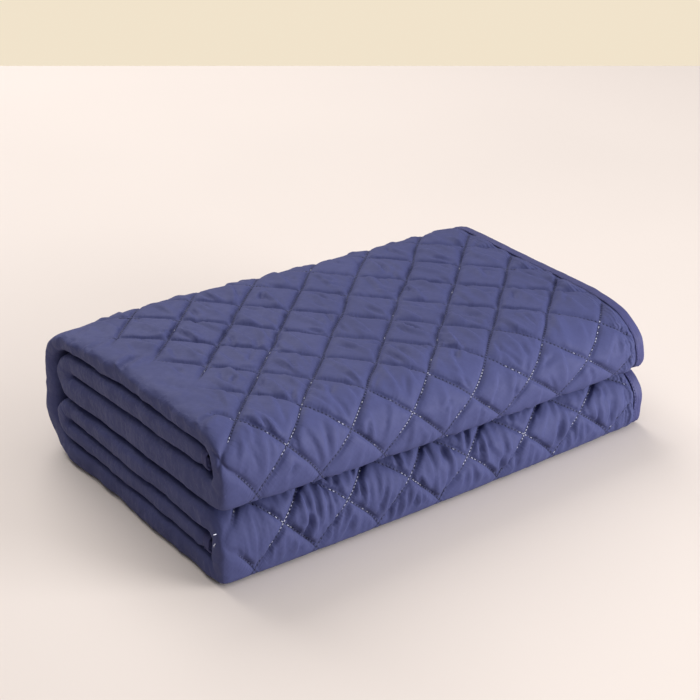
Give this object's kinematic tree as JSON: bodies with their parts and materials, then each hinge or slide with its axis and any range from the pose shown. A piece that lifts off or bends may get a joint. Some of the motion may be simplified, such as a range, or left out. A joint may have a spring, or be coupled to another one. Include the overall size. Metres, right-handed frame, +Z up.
{
  "type": "folded quilted furniture cover",
  "caption": "Padded diamond-quilted furniture cover with a bound edge, folded double and then back and forth into a soft block that lies flat.",
  "frame": {"origin": "on the floor under the centre of the bounding box", "axes": "+X along the folds from the soft fold to the bound edges, +Y towards the spine of the folded pack, +Z up"},
  "size_m": [0.3904, 0.2568, 0.1184],
  "materials": {
    "cloth": "satin",
    "binding": "satin"
  },
  "bodies": {
    "root": {"quilted_cloth": "cloth", "edge_binding": "binding"}
  },
  "joints": []
}
